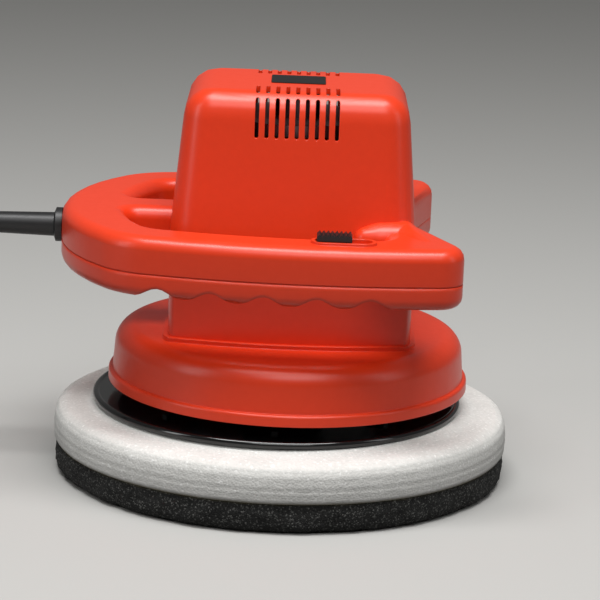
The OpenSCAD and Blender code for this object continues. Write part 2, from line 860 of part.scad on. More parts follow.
module skirt() {
    color(red) {
        difference() {
            rotate_extrude()
                difference() {
                    skirt_section(0, skirt_rim, 0);
                    skirt_section(wall, [[skirt_wall_r - wall, z_rim - cut]], cut);
                    square([skirt_hole_r, z_top]);
                }
            at_corners(corner_boss_x, corner_boss_y)
                translate([0, 0, z_skirt - 2*wall])
                    cylinder(d = screw_d + free_gap, h = 4*wall);
            at_corners(bracket_screw[0], bracket_screw[1])
                translate([0, 0, z_skirt - 2*wall])
                    cylinder(d = screw_d + free_gap, h = 4*wall);
        }
        translate([0, 0, z_skirt])
            linear_extrude(collar_h)
                difference() {
                    neck_outline(-collar_t);
                    neck_outline(0);
                }
    }
}

module rating_plate() {
    color(black)
        translate([0, rating_y, z_top - rating_sink])
            linear_extrude(rating_t)
                rounded_rect(rating_l, rating_w, 1);
}

module housing_screws() {
    color(steel)
        for (p = boss_pts)
            translate([p[0], p[1], z_low + sink_h])
                screw(screw_d, housing_screw_l, screw_head_d, screw_head_h - free_gap);
}

module skirt_screws() {
    color(steel)
        at_corners(corner_boss_x, corner_boss_y)
            translate([0, 0, z_skirt - wall])
                screw(screw_d, low_screw_l, screw_head_d, screw_head_h);
}

module motor_screws() {
    color(steel)
        at_corners(bracket_screw[0], bracket_screw[1])
            translate([0, 0, z_skirt - wall])
                screw(screw_d, low_screw_l, screw_head_d, screw_head_h);
}

module switch_body() {
    color(black)
        switch_place(body_z)
            difference() {
                linear_extrude(body_h)
                    rounded_rect(body_l, body_w, 1);
                translate([0, 0, body_h - body_pocket_h])
                    linear_extrude(body_h)
                        slot(stem_l + switch_travel + 2*free_gap + stem_w, stem_w + 2*free_gap);
            }
}

// Sawtooth outline of the ribs on the button
module rib_outline() {
    pitch = button_l/rib_count;
    polygon(concat([for (i = [0:rib_count - 1]) each [[i*pitch, 0], [(i + 0.6)*pitch, rib_h]]],
        [[button_l, 0], [button_l, -cap_h], [0, -cap_h]]));
}

module switch_button() {
    cap_z = z_bar + rim_h + cap_gap;
    base_z = z_bar - recess_h + cap_gap;
    color(black)
        translate([button_x, switch_y, 0]) {
            translate([0, 0, base_z])
                linear_extrude(cap_z - base_z)
                    slot(button_l, button_w);
            translate([-button_l/2, cap_w/2, cap_z + cap_h])
                rotate([90, 0, 0])
                    linear_extrude(cap_w)
                        rib_outline();
            translate([-stem_l/2, -stem_w/2, stem_z])
                cube([stem_l, stem_w, base_z - stem_z]);
        }
}

module capacitor() {
    color("goldenrod")
        translate([grip_cx, ring_half - bar_w/2, pocket_z])
            linear_extrude(cap_size[2])
                rounded_rect(cap_size[0], cap_size[1], 1.5);
}

module inner_wires() {
    color("saddlebrown")
        tube(route(wire_switch, route_steps), wire_r, wire_sides);
    color("steelblue")
        tube(route(wire_motor, route_steps), wire_r, wire_sides, [0, 1, 0]);
}

module cord_guard() {
    flange_z = guard_flange_t + wall;
    sleeve_z = flange_z + guard_flange_t;
    color(black)
        translate([guard_flange_t + wall - ring_left, 0, cord_z])
            rotate([0, -90, 0])
                rotate_extrude()
                    polygon([[cord_r, 0], [guard_flange_r - free_gap, 0],
                        [guard_flange_r - free_gap, guard_flange_t], [guard_r, guard_flange_t],
                        [guard_r, flange_z], [guard_flange_r, flange_z], [guard_flange_r, sleeve_z],
                        [guard_r, sleeve_z + 0.8], [guard_tip_r, sleeve_z + guard_l],
                        [cord_r, sleeve_z + guard_l]]);
}

module cord_clamp() {
    color(black)
        difference() {
            translate([-clamp_x - clamp_l/2, -clamp_w/2, clamp_z])
                cube([clamp_l, clamp_w, clamp_t]);
            translate([-clamp_x - clamp_l, 0, cord_z])
                rotate([0, 90, 0])
                    cylinder(r = cord_r, h = 2*clamp_l);
            for (s = [-1, 1])
                translate([-clamp_x, s*clamp_screw_y, clamp_z - cut])
                    cylinder(d = clamp_screw_d + free_gap, h = clamp_t + 2*cut);
        }
}

module clamp_screws() {
    color(steel)
        for (s = [-1, 1])
            translate([-clamp_x, s*clamp_screw_y, clamp_z + clamp_t])
                mirror([0, 0, 1])
                    screw(clamp_screw_d, clamp_screw_l, 5.4, 1.6);
}

module cord_lead() {
    color(black)
        tube(route(lead_points, route_steps), cord_r, tube_sides);
}

module cord_coil() {
    color(black)
        tube(coil_points, cord_r, 6);
}

module cord_tail() {
    color(black)
        tube(route(tail_points, route_steps), cord_r, tube_sides);
}

// Strap round the coil, at the side away from the lead
module coil_tie() {
    tie_in_w = coil_out_r - coil_in_r + cord_d + 2*tie_gap;
    tie_in_h = coil_layer + cord_d + 2*tie_gap;
    color(grey)
        translate([coil_c[0] - tie_w/2, coil_c[1] + (coil_out_r + coil_in_r)/2, coil_z + coil_layer/2])
            rotate([90, 0, 90])
                linear_extrude(tie_w)
                    difference() {
                        rounded_rect(tie_in_w + 2*tie_t, tie_in_h + 2*tie_t, cord_r);
                        rounded_rect(tie_in_w, tie_in_h, cord_r - tie_t);
                    }
}

module plug_place() {
    translate([tail_x, plug_y, plug_t/2])
        rotate([90, 0, 0])
            children();
}

// Flat two-pin plug, widening from the cord to the pin face
module plug_body() {
    color(black)
        difference() {
            union() {
                plug_place()
                    cylinder(r1 = cord_r + 0.6, r2 = plug_t/2 - 1, h = plug_relief_l);
                translate([tail_x, plug_y - plug_relief_l, 0])
                    linear_extrude(plug_t)
                        polygon([[-plug_nose_w/2, 0], [-plug_w/2, -plug_l*0.45], [-plug_w/2, -plug_l],
                            [plug_w/2, -plug_l], [plug_w/2, -plug_l*0.45], [plug_nose_w/2, 0]]);
            }
            for (s = [-1, 1])
                translate([s*pin_spacing/2, 0, 0])
                    plug_place()
                        translate([0, 0, plug_relief_l + plug_l - pin_plug_in])
                            cylinder(d = pin_root_d, h = 2*pin_plug_in);
        }
}

module plug_pins() {
    color(steel)
        for (s = [-1, 1])
            translate([s*pin_spacing/2, 0, 0])
                plug_place()
                    translate([0, 0, plug_relief_l + plug_l]) {
                        translate([0, 0, -pin_plug_in])
                            cylinder(d = pin_root_d, h = pin_plug_in + pin_root_l);
                        translate([0, 0, pin_root_l])
                            cylinder(d = pin_plug_d, h = pin_plug_l - pin_root_l);
                    }
}

module motor_bracket() {
    color(grey)
        difference() {
            translate([0, 0, z_skirt]) {
                linear_extrude(bracket_t)
                    rounded_rect(bracket_w, bracket_d, 6);
                cylinder(d = bearing_boss_d, h = bearing_boss_h);
                for (s = [-1, 1])
                    translate([s*ear_x, 0, 0])
                        cylinder(d = pillar_d, h = stack_z - z_skirt);
                at_corners(bracket_screw[0], bracket_screw[1])
                    cylinder(d = boss_d, h = bracket_boss_h);
            }
            translate([0, 0, bearing_z])
                cylinder(d = bearing_d, h = bearing_boss_h);
            translate([0, 0, z_skirt - cut])
                cylinder(d = shaft_d*2, h = bearing_boss_h);
            for (s = [-1, 1])
                translate([s*ear_x, 0, stack_top + ear_t - bolt_l])
                    cylinder(d = screw_d, h = bolt_l);
            at_corners(bracket_screw[0], bracket_screw[1])
                translate([0, 0, z_skirt - cut])
                    cylinder(d = screw_d, h = low_screw_l);
        }
}

module lower_bearing_outer() {
    color(steel)
        translate([0, 0, bearing_z])
            ring(bearing_d, bearing_race_d, bearing_h);
}

module lower_bearing_inner() {
    color(steel)
        translate([0, 0, bearing_z])
            ring(bearing_inner_d, shaft_d, bearing_h);
}

module lower_bearing_balls() {
    color(dark_steel)
        translate([0, 0, bearing_z + bearing_h/2])
            balls(bearing_ball_r, bearing_pitch_r, bearing_balls);
}

module pole_outline() {
    reach = stator_d;
    translate([-pole_w/2, pole_r + pole_shoe_t/2])
        square([pole_w, stator_in_r - pole_r]);
    intersection() {
        difference() {
            circle(pole_r + pole_shoe_t);
            circle(pole_r);
        }
        polygon([[0, 0], [-reach*sin(pole_half_a), reach*cos(pole_half_a)], [0, reach],
            [reach*sin(pole_half_a), reach*cos(pole_half_a)]]);
    }
}

module stator_core() {
    color(dark_steel)
        translate([0, 0, stack_z])
            linear_extrude(stack_h) {
                difference() {
                    union() {
                        circle(d = stator_d);
                        for (s = [-1, 1])
                            translate([s*ear_x, 0])
                                circle(ear_r);
                    }
                    circle(stator_in_r);
                    for (s = [-1, 1])
                        translate([s*ear_x, 0])
                            circle(d = screw_d + free_gap);
                }
                for (m = [0, 1])
                    mirror([0, m])
                        pole_outline();
            }
}

module field_coils() {
    color(copper)
        for (m = [0, 1])
            mirror([0, m, 0])
                translate([0, coil_y1, stack_z + stack_h/2])
                    rotate([90, 0, 0])
                        linear_extrude(coil_y1 - coil_y0)
                            difference() {
                                rounded_rect(pole_w + 2*coil_t, stack_h + 2*coil_t, coil_t);
                                square([pole_w, stack_h], center = true);
                            }
}

module stator_bolts() {
    color(steel)
        for (s = [-1, 1])
            translate([s*ear_x, 0, stack_top + ear_t])
                mirror([0, 0, 1])
                    screw(screw_d, bolt_l, screw_head_d, screw_head_h);
}

module brush_bracket() {
    color(grey)
        difference() {
            union() {
                translate([0, 0, stack_top])
                    cylinder(d = stator_d, h = cup_h + cup_t);
                translate([0, 0, cup_z])
                    cylinder(r = bush_boss_r, h = bush_boss_top - cup_z);
                for (s = [-1, 1])
                    translate([s*ear_x, 0, stack_top])
                        cylinder(r = ear_r, h = ear_t);
            }
            translate([0, 0, stack_top - cut])
                cylinder(r = cup_wall_r, h = cup_h + cut);
            translate([0, 0, bush_z])
                cylinder(d = bush_d, h = bush_h + 2*cut);
            translate([0, 0, cup_z - cut])
                cylinder(d = shaft_d + 2, h = bush_h);
            translate([0, 0, brush_z])
                cube([2*stator_d, brush_w + 2*holder_wall, brush_h + 2*holder_wall], center = true);
            translate([0, 0, brush_z])
                cube([cup_window[0], 2*stator_d, cup_window[1]], center = true);
            for (s = [-1, 1])
                translate([s*ear_x, 0, stack_top - cut])
                    cylinder(d = screw_d + free_gap, h = ear_t + 2*cut);
        }
}

module upper_bush() {
    color("peru")
        translate([0, 0, bush_z])
            ring(bush_d, shaft_d + 2*running_gap, bush_h);
}

// Places a child made along +X on both sides of the commutator
module both_brushes() {
    for (m = [0, 1])
        mirror([m, 0, 0])
            translate([0, 0, brush_z])
                children();
}

module x_block(x0, x1, w, h) {
    translate([x0, -w/2, -h/2])
        cube([x1 - x0, w, h]);
}

module brush_holders() {
    color("burlywood")
        both_brushes()
            difference() {
                x_block(holder_x0, holder_x1, brush_w + 2*holder_wall, brush_h + 2*holder_wall);
                x_block(holder_x0 - cut, holder_x1 + cut, brush_w, brush_h);
            }
}

module carbon_brushes() {
    color(black)
        both_brushes()
            difference() {
                x_block(comm_r - cut, brush_x1, brush_w, brush_h);
                translate([0, 0, -brush_h])
                    cylinder(r = comm_r + free_gap, h = 2*brush_h);
            }
}

module brush_springs() {
    span = cap_x0 - brush_x1 - 2*spring_wire_r;
    rings = spring_turns*12;
    helix = [for (i = [0:rings]) [brush_x1 + spring_wire_r + span*i/rings,
        (spring_r - spring_wire_r)*cos(30*i), (spring_r - spring_wire_r)*sin(30*i)]];
    color(steel)
        both_brushes()
            tube(helix, spring_wire_r, 6, [1, 0, 0]);
}

module brush_caps() {
    color("burlywood")
        both_brushes() {
            x_block(cap_x0, holder_x1 + cut, brush_w, brush_h);
            x_block(holder_x1, holder_x1 + cap_t, brush_w + 2*holder_wall, brush_h + 2*holder_wall);
        }
}

module motor_shaft() {
    color(steel)
        translate([0, 0, shaft_z0])
            cylinder(d = shaft_d, h = shaft_z1 - shaft_z0);
}

module armature_slots(depth) {
    for (i = [0:slot_count - 1])
        rotate([0, 0, i*360/slot_count])
            translate([-slot_w/2, slot_in_r])
                square([slot_w, depth]);
}

module armature_core() {
    color(dark_steel)
        translate([0, 0, stack_z])
            linear_extrude(stack_h)
                difference() {
                    circle(d = armature_d);
                    circle(d = shaft_d);
                    armature_slots(armature_d);
                }
}

module armature_windings() {
    width = winding_out_r - winding_in_r;
    color(copper) {
        translate([0, 0, stack_z])
            linear_extrude(stack_h)
                armature_slots(winding_out_r - slot_in_r - 0.5);
        translate([0, 0, stack_top])
            rotate_extrude()
                translate([winding_in_r + width/2, 0])
                    bar_section(width, winding_h, 2, 0);
        translate([0, 0, stack_z])
            mirror([0, 0, 1])
                rotate_extrude()
                    translate([winding_in_r + width/2, 0])
                        bar_section(width, winding_h, 2, 0);
    }
}

module commutator() {
    color(copper)
        translate([0, 0, comm_z])
            difference() {
                ring(2*comm_r, shaft_d, comm_h);
                for (i = [0:comm_bars - 1])
                    rotate([0, 0, i*360/comm_bars])
                        translate([comm_r - 0.8, -0.25, -cut])
                            cube([2, 0.5, comm_h + 2*cut]);
            }
}

module cooling_fan() {
    color("whitesmoke")
        translate([0, 0, fan_z])
            difference() {
                union() {
                    cylinder(d = 2*shaft_d, h = fan_h);
                    translate([0, 0, fan_h - fan_plate_t])
                        cylinder(d = fan_d, h = fan_plate_t);
                    for (i = [0:fan_blades - 1])
                        rotate([0, 0, i*360/fan_blades])
                            translate([shaft_d - 0.5, 0, 0])
                                rotate([0, 0, 15])
                                    cube([fan_d/2 - shaft_d - 1, 1.6, fan_h]);
                }
                translate([0, 0, -cut])
                    cylinder(d = shaft_d, h = fan_h + 2*cut);
            }
}

module weight_bolts() {
    for (s = [-1, 1])
        translate([weight_screw_x1, s*weight_screw_y, hub_z + weight_h/2])
            rotate([0, -90, 0])
                children();
}

module eccentric_hub() {
    color(dark_steel)
        difference() {
            union() {
                translate([0, 0, hub_z])
                    cylinder(r = hub_r, h = hub_h);
                translate([pad_x, 0, pad_bearing_top])
                    cylinder(d = pin_shoulder_d, h = hub_z - pad_bearing_top);
                translate([pad_x, 0, pad_bearing_z])
                    cylinder(d = pin_d, h = hub_z - pad_bearing_z);
            }
            translate([0, 0, shaft_z0])
                cylinder(d = shaft_d, h = hub_h);
            translate([pad_x, 0, pad_bearing_z - washer_t])
                cylinder(d = pad_screw_d, h = pad_screw_l);
            weight_bolts()
                cylinder(d = screw_d, h = weight_screw_x1 - weight_screw_x0);
        }
}

module counterweight() {
    color(dark_steel)
        difference() {
            rotate([0, 0, -weight_half_a])
                rotate_extrude(angle = 2*weight_half_a)
                    translate([hub_r, hub_z])
                        square([weight_r - hub_r, weight_h]);
            weight_bolts() {
                cylinder(d = screw_d + free_gap, h = weight_screw_x1);
                mirror([0, 0, 1])
                    cylinder(d = screw_head_d + free_gap, h = weight_r);
            }
        }
}

module counterweight_screws() {
    color(steel)
        weight_bolts()
            screw(screw_d, weight_screw_x1 - weight_screw_x0, screw_head_d - 2*free_gap, weight_head_h);
}

module at_pad(z) {
    translate([pad_x, 0, z])
        children();
}

module pad_bearing_inner() {
    color(steel)
        at_pad(pad_bearing_z)
            ring(pad_inner_d, pin_d, pad_bearing_h);
}

module pad_bearing_balls() {
    color(dark_steel)
        at_pad(pad_bearing_z + pad_bearing_h/2)
            balls(pad_ball_r, pad_pitch_r, pad_balls);
}

module pad_bearing_outer() {
    color(steel)
        at_pad(pad_bearing_z)
            ring(pad_bearing_d, pad_race_d, pad_bearing_h);
}

module bearing_circlip() {
    color(dark_steel)
        at_pad(pad_bearing_top)
            difference() {
                ring(circlip_d, circlip_in_d, circlip_t);
                translate([0, -circlip_gap/2, -cut])
                    cube([circlip_d, circlip_gap, circlip_t + 2*cut]);
            }
}

module pad_washer() {
    color(steel)
        at_pad(pad_bearing_z - washer_t)
            ring(washer_d, pad_screw_d, washer_t);
}

module pad_screw() {
    color(dark_steel)
        at_pad(pad_bearing_z - washer_t)
            screw(pad_screw_d, pad_screw_l, pad_screw_head_d, pad_screw_head_h);
}

module backing_plate() {
    color(black)
        at_pad(z_plate)
            difference() {
                union() {
                    rotate_extrude() {
                        square([plate_d/2 - plate_edge_r, plate_t]);
                        translate([plate_d/2 - plate_edge_r, plate_edge_r])
                            circle(plate_edge_r);
                    }
                    cylinder(d = plate_hub_d, h = plate_hub_h);
                    for (i = [0:plate_ribs - 1])
                        rotate([90, 0, i*360/plate_ribs])
                            translate([0, 0, -plate_rib_t/2])
                                linear_extrude(plate_rib_t)
                                    polygon([[plate_hub_d/2 - 1, 1], [plate_rib_x, 1],
                                        [plate_rib_x, plate_t + 1], [plate_hub_d/2 - 1, plate_rib_h]]);
                }
                translate([0, 0, -cut])
                    cylinder(d = plate_hole_d, h = plate_hub_h);
                translate([0, 0, pad_bearing_z - z_plate])
                    cylinder(d = pad_bearing_d, h = plate_hub_h);
                translate([0, 0, pad_bearing_top - z_plate])
                    cylinder(d = circlip_d, h = circlip_t);
            }
}

// Half section of a foam disc with one rounded outer edge, at y = h
module foam_section(h) {
    r = foam_edge_r;
    square([pad_d/2, h - r]);
    square([pad_d/2 - r, h]);
    translate([pad_d/2 - r, h - r])
        circle(r);
}

module foam_place() {
    at_pad(z_glue)
        translate([foam_off, 0, 0])
            children();
}

module white_foam() {
    color([0.86, 0.86, 0.85])
        foam_place()
            rotate_extrude()
                foam_section(foam_white_t);
}

module dark_foam() {
    color([0.16, 0.16, 0.17])
        foam_place()
            mirror([0, 0, 1])
                rotate_extrude()
                    foam_section(foam_dark_t);
}

upper_housing();
lower_housing();
skirt();
rating_plate();
housing_screws();
skirt_screws();
motor_screws();
switch_body();
switch_button();
capacitor();
inner_wires();
cord_guard();
cord_clamp();
clamp_screws();
cord_lead();
cord_coil();
cord_tail();
coil_tie();
plug_body();
plug_pins();
motor_bracket();
lower_bearing_outer();
lower_bearing_inner();
lower_bearing_balls();
stator_core();
field_coils();
stator_bolts();
brush_bracket();
upper_bush();
brush_holders();
carbon_brushes();
brush_springs();
brush_caps();
motor_shaft();
armature_core();
armature_windings();
commutator();
cooling_fan();
eccentric_hub();
counterweight();
counterweight_screws();
pad_bearing_inner();
pad_bearing_balls();
pad_bearing_outer();
bearing_circlip();
pad_washer();
pad_screw();
backing_plate();
white_foam();
dark_foam();
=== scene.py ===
"""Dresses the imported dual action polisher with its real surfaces.

Everything is in metres in the part's own frame: +Z up, origin on the motor axis at the pad's working face.
"""

import logging
import math
from dataclasses import dataclass, replace
from enum import Enum

import bmesh
import bpy
from mathutils import Euler, Matrix, Vector, noise


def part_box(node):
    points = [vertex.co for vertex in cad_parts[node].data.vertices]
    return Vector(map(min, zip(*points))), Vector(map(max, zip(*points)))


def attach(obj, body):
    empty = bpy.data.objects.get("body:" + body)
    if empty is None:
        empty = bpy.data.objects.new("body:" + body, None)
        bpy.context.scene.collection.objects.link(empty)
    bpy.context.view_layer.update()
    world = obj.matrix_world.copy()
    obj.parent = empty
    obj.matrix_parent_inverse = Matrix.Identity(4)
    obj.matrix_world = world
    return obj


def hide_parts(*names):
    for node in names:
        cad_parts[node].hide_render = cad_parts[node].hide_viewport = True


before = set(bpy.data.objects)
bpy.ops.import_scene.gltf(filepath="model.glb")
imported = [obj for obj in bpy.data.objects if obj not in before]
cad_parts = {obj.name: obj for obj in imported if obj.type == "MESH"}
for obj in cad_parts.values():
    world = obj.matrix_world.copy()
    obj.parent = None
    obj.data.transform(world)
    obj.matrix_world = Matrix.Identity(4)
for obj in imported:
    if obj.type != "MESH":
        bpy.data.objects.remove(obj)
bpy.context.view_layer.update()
LOG = logging.getLogger("polisher")
MM = 0.001
# A Mix node's colour sockets, which share their names with its other sockets
MIX_FACTOR = 0
MIX_FIRST = 6
MIX_SECOND = 7
MIX_RESULT = 2
# A Wave texture's phase along an axis grows by this much per unit of its scale
WAVE_PHASE = 20
Point = tuple[float, float, float]


def linear(code: str) -> tuple[float, float, float, float]:
    """Turns an sRGB hex colour into linear values.

    Args:
        code: Six hex digits, such as "d8401f".

    Returns:
        Linear red, green, blue and an alpha of 1.
    """
    parts = [int(code[i:i + 2], 16) / 255 for i in (0, 2, 4)]
    red, green, blue = [c / 12.92 if c <= 0.04045 else ((c + 0.055) / 1.055) ** 2.4 for c in parts]
    return red, green, blue, 1.0


def add_node(tree: bpy.types.NodeTree, kind: str, settings: dict, inputs: dict) -> bpy.types.Node:
    """Adds a shader node with its settings and links.

    Args:
        tree: The material's node tree.
        kind: The node's type name.
        settings: Properties of the node and their values.
        inputs: Socket names or numbers, with a value or another node's output for each.

    Returns:
        The new node.
    """
    node = tree.nodes.new(kind)
    for key, value in settings.items():
        setattr(node, key, value)
    for key, value in inputs.items():
        if isinstance(value, bpy.types.NodeSocket):
            tree.links.new(value, node.inputs[key])
        else:
            node.inputs[key].default_value = value
    return node


class Pattern(Enum):
    """How a surface varies from place to place."""

    MOULDED = "moulded"
    LAYERED = "layered"
    WOUND = "wound"
    TURNED = "turned"


# The lines of each pattern that has them
PATTERN_LINES = {
    Pattern.LAYERED: {"wave_type": "BANDS", "bands_direction": "Z"},
    Pattern.WOUND: {"wave_type": "BANDS", "bands_direction": "DIAGONAL"},
    Pattern.TURNED: {"wave_type": "RINGS", "rings_direction": "Z"},
}


@dataclass(frozen=True)
class Finish:
    """A real material and the way its surface was made.

    Args:
        name: The material's common name.
        base: sRGB hex of the surface.
        second: sRGB hex that the pattern mixes in.
        grain_mm: Size of the pattern.
        roughness: Middle roughness.
        spread: How far the pattern moves the roughness either way.
        metallic: 1 for bare metal.
        ior: Index of refraction of a plastic.
        bump_mm: Height of the relief.
        pattern: Kind of pattern.
        edge_mm: Radius of the moulded edges, which catch the light as fine lines.
        edge_samples: Rays that find those edges.
        relief: Strength of the relief.
        octaves: Layers of ever finer grain in a moulded pattern.
        falloff: Strength of each finer layer next to the one before it.
        wander: How far the lines of the other patterns stray.
        wander_octaves: Layers of ever finer straying.
    """

    name: str
    base: str
    second: str
    grain_mm: float
    roughness: float
    spread: float = 0.05
    metallic: float = 0.0
    ior: float = 1.5
    bump_mm: float = 0.02
    pattern: Pattern = Pattern.MOULDED
    edge_mm: float = 0.0
    edge_samples: int = 6
    relief: float = 0.6
    octaves: float = 4.0
    falloff: float = 0.55
    wander: float = 0.6
    wander_octaves: float = 2.0

    def texture(self, tree: bpy.types.NodeTree, place: bpy.types.NodeSocket) -> bpy.types.NodeSocket:
        """Makes the pattern.

        Args:
            tree: The material's node tree.
            place: Object coordinates.

        Returns:
            A socket from 0 to 1.
        """
        scale = 1 / (self.grain_mm * MM)
        if self.pattern is Pattern.MOULDED:
            grain = add_node(tree, "ShaderNodeTexNoise", {}, {
                "Vector": place, "Scale": scale, "Detail": self.octaves, "Roughness": self.falloff})
            return grain.outputs["Fac"]
        lines = add_node(tree, "ShaderNodeTexWave", PATTERN_LINES[self.pattern], {
            "Vector": place, "Scale": scale * math.tau / WAVE_PHASE, "Distortion": self.wander,
            "Detail": self.wander_octaves})
        return lines.outputs["Fac"]

    def material(self) -> bpy.types.Material:
        """Builds the node material at its first use.

        Returns:
            The material.
        """
        made = bpy.data.materials.get(self.name)
        if made is not None:
            return made
        made = bpy.data.materials.new(self.name)
        made.use_nodes = True
        tree = made.node_tree
        shader = tree.nodes["Principled BSDF"]
        place = add_node(tree, "ShaderNodeTexCoord", {}, {}).outputs["Object"]
        pattern = self.texture(tree, place)
        colour = add_node(tree, "ShaderNodeMix", {"data_type": "RGBA"}, {
            MIX_FACTOR: pattern, MIX_FIRST: linear(self.base), MIX_SECOND: linear(self.second)})
        rough = add_node(tree, "ShaderNodeMapRange", {}, {
            "Value": pattern, "To Min": self.roughness - self.spread, "To Max": self.roughness + self.spread})
        relief = add_node(tree, "ShaderNodeBump", {}, {
            "Height": pattern, "Strength": self.relief, "Distance": self.bump_mm * MM})
        if self.edge_mm:
            edges = add_node(tree, "ShaderNodeBevel", {"samples": self.edge_samples},
                             {"Radius": self.edge_mm * MM})
            tree.links.new(edges.outputs["Normal"], relief.inputs["Normal"])
        tree.links.new(colour.outputs[MIX_RESULT], shader.inputs["Base Color"])
        tree.links.new(rough.outputs["Result"], shader.inputs["Roughness"])
        tree.links.new(relief.outputs["Normal"], shader.inputs["Normal"])
        shader.inputs["Metallic"].default_value = self.metallic
        if not self.metallic:
            shader.inputs["IOR"].default_value = self.ior
        return made


@dataclass(frozen=True)
class FoamFinish:
    """Open-cell polyurethane foam: matt, grainy, with painted highlights on a few cell rims here and there
    and painted shade in its pores.

    Args:
        name: The material's common name.
        wall: sRGB hex of the cell walls.
        painted_pore_shade: sRGB hex of the painted shade deep in the cells.
        painted_glint: sRGB hex of the painted highlights on the brightest cell rims.
        cell_mm: Size of a cell.
        depth_mm: Depth of the cells in the relief.
        painted_glint_share: Share of the cells whose rims get a painted highlight.
        glue: sRGB hex of the glue that has soaked in at the joint.
        glue_z: Height of the glue joint.
        glue_mm: How far the glue has soaked in.
        glue_share: Share of the glue's colour at the joint.
        clump_cells: Cells across a clump of like shade.
        clump_octaves: Layers of ever finer clumps.
        cell_share: Share of the single cell in the painted pore shade, next to its clump.
        shade_range: Shades that show as wall and as painted pore shade.
        relief: Strength of the relief.
        roughness: Roughness of the cell walls.
        specular: Strength of their highlights.
    """

    name: str
    wall: str
    painted_pore_shade: str
    painted_glint: str
    cell_mm: float
    depth_mm: float
    painted_glint_share: float
    glue: str
    glue_z: float = 0.012
    glue_mm: float = 0.9
    glue_share: float = 0.9
    clump_cells: float = 12.0
    clump_octaves: float = 5.0
    cell_share: float = 0.6
    shade_range: tuple[float, float] = (0.3, 1.3)
    relief: float = 0.7
    roughness: float = 0.92
    specular: float = 0.25

    def material(self) -> bpy.types.Material:
        """Builds the node material.

        Returns:
            The material.
        """
        made = bpy.data.materials.new(self.name)
        made.use_nodes = True
        tree = made.node_tree
        shader = tree.nodes["Principled BSDF"]
        place = add_node(tree, "ShaderNodeTexCoord", {}, {}).outputs["Object"]
        scale = 1 / (self.cell_mm * MM)
        cells = add_node(tree, "ShaderNodeTexVoronoi", {"feature": "F1"}, {"Vector": place, "Scale": scale})
        chance = add_node(tree, "ShaderNodeSeparateColor", {}, {0: cells.outputs["Color"]})
        # Each cell gets its own amount of painted pore shade, and some clumps of cells get more than others,
        # at random
        clump = add_node(tree, "ShaderNodeTexNoise", {}, {
            "Vector": place, "Scale": scale / self.clump_cells, "Detail": self.clump_octaves})
        shade = add_node(tree, "ShaderNodeMath", {"operation": "MULTIPLY_ADD"}, {
            0: chance.outputs["Red"], 1: self.cell_share, 2: clump.outputs["Fac"]})
        painted_pore_shade_mask = add_node(tree, "ShaderNodeMapRange", {}, {
            "Value": shade.outputs[0], "From Min": self.shade_range[0], "From Max": self.shade_range[1]})
        colour = add_node(tree, "ShaderNodeMix", {"data_type": "RGBA"}, {
            MIX_FACTOR: painted_pore_shade_mask.outputs["Result"], MIX_FIRST: linear(self.wall), MIX_SECOND: linear(self.painted_pore_shade)})
        # A few cell rims get a painted highlight, as if they caught the light
        painted_glint_mask = add_node(tree, "ShaderNodeMapRange", {}, {
            "Value": chance.outputs["Green"], "From Min": 1 - self.painted_glint_share, "From Max": 1.0})
        with_painted_glints = add_node(tree, "ShaderNodeMix", {"data_type": "RGBA"}, {
            MIX_FACTOR: painted_glint_mask.outputs["Result"], MIX_FIRST: colour.outputs[MIX_RESULT],
            MIX_SECOND: linear(self.painted_glint)})
        # The glue shows in patches on both sides of the joint
        height = add_node(tree, "ShaderNodeSeparateXYZ", {}, {0: place}).outputs["Z"]
        above = add_node(tree, "ShaderNodeMath", {"operation": "SUBTRACT"}, {0: height, 1: self.glue_z})
        apart = add_node(tree, "ShaderNodeMath", {"operation": "ABSOLUTE"}, {0: above.outputs[0]})
        soaked = add_node(tree, "ShaderNodeMapRange", {}, {
            "Value": apart.outputs[0], "From Min": 0.0, "From Max": self.glue_mm * MM,
            "To Min": self.glue_share, "To Max": 0.0})
        patchy = add_node(tree, "ShaderNodeMath", {"operation": "MULTIPLY"}, {
            0: soaked.outputs["Result"], 1: clump.outputs["Fac"]})
        glued = add_node(tree, "ShaderNodeMix", {"data_type": "RGBA"}, {
            MIX_FACTOR: patchy.outputs[0], MIX_FIRST: with_painted_glints.outputs[MIX_RESULT],
            MIX_SECOND: linear(self.glue)})
        relief = add_node(tree, "ShaderNodeBump", {"invert": True}, {
            "Height": cells.outputs["Distance"], "Strength": self.relief, "Distance": self.depth_mm * MM})
        tree.links.new(glued.outputs[MIX_RESULT], shader.inputs["Base Color"])
        tree.links.new(relief.outputs["Normal"], shader.inputs["Normal"])
        shader.inputs["Roughness"].default_value = self.roughness
        shader.inputs["Specular IOR Level"].default_value = self.specular
        return made


# Moulded ABS: even colour, a satin skin with a faint orange peel that spreads the highlights
RED_ABS = Finish("red_moulded_abs", "e23c18", "da3714", 3.0, 0.33, 0.03, bump_mm=0.012, edge_mm=0.5)
# The same ABS where the grip's underside is rounded for the fingers: wide, soft edges
SOFT_ABS = replace(RED_ABS, name="red_rounded_abs", edge_mm=2.2)
# Polished polycarbonate disc: deep black, sharp reflections
PLATE_PC = Finish("black_polished_polycarbonate", "070607", "0b0a0b", 8.0, 0.12, 0.03, ior=1.58,
                  bump_mm=0.004)
# Black nylon with a spark-eroded grain, drawn coarser than life so that it shows: soft, broad highlights
BLACK_NYLON = Finish("black_grained_nylon", "121213", "1c1c1d", 0.7, 0.5, 0.08, bump_mm=0.03)
# Polyester film: even black with a little gloss
RATING_FILM = Finish("black_polyester_film", "0a0a0b", "101011", 5.0, 0.4, 0.04, ior=1.4, bump_mm=0.003)
# PVC sheath: dark grey-black with a dull shine
CORD_PVC = Finish("black_pvc_sheath", "161617", "1f1f20", 1.2, 0.42, 0.06, bump_mm=0.02)
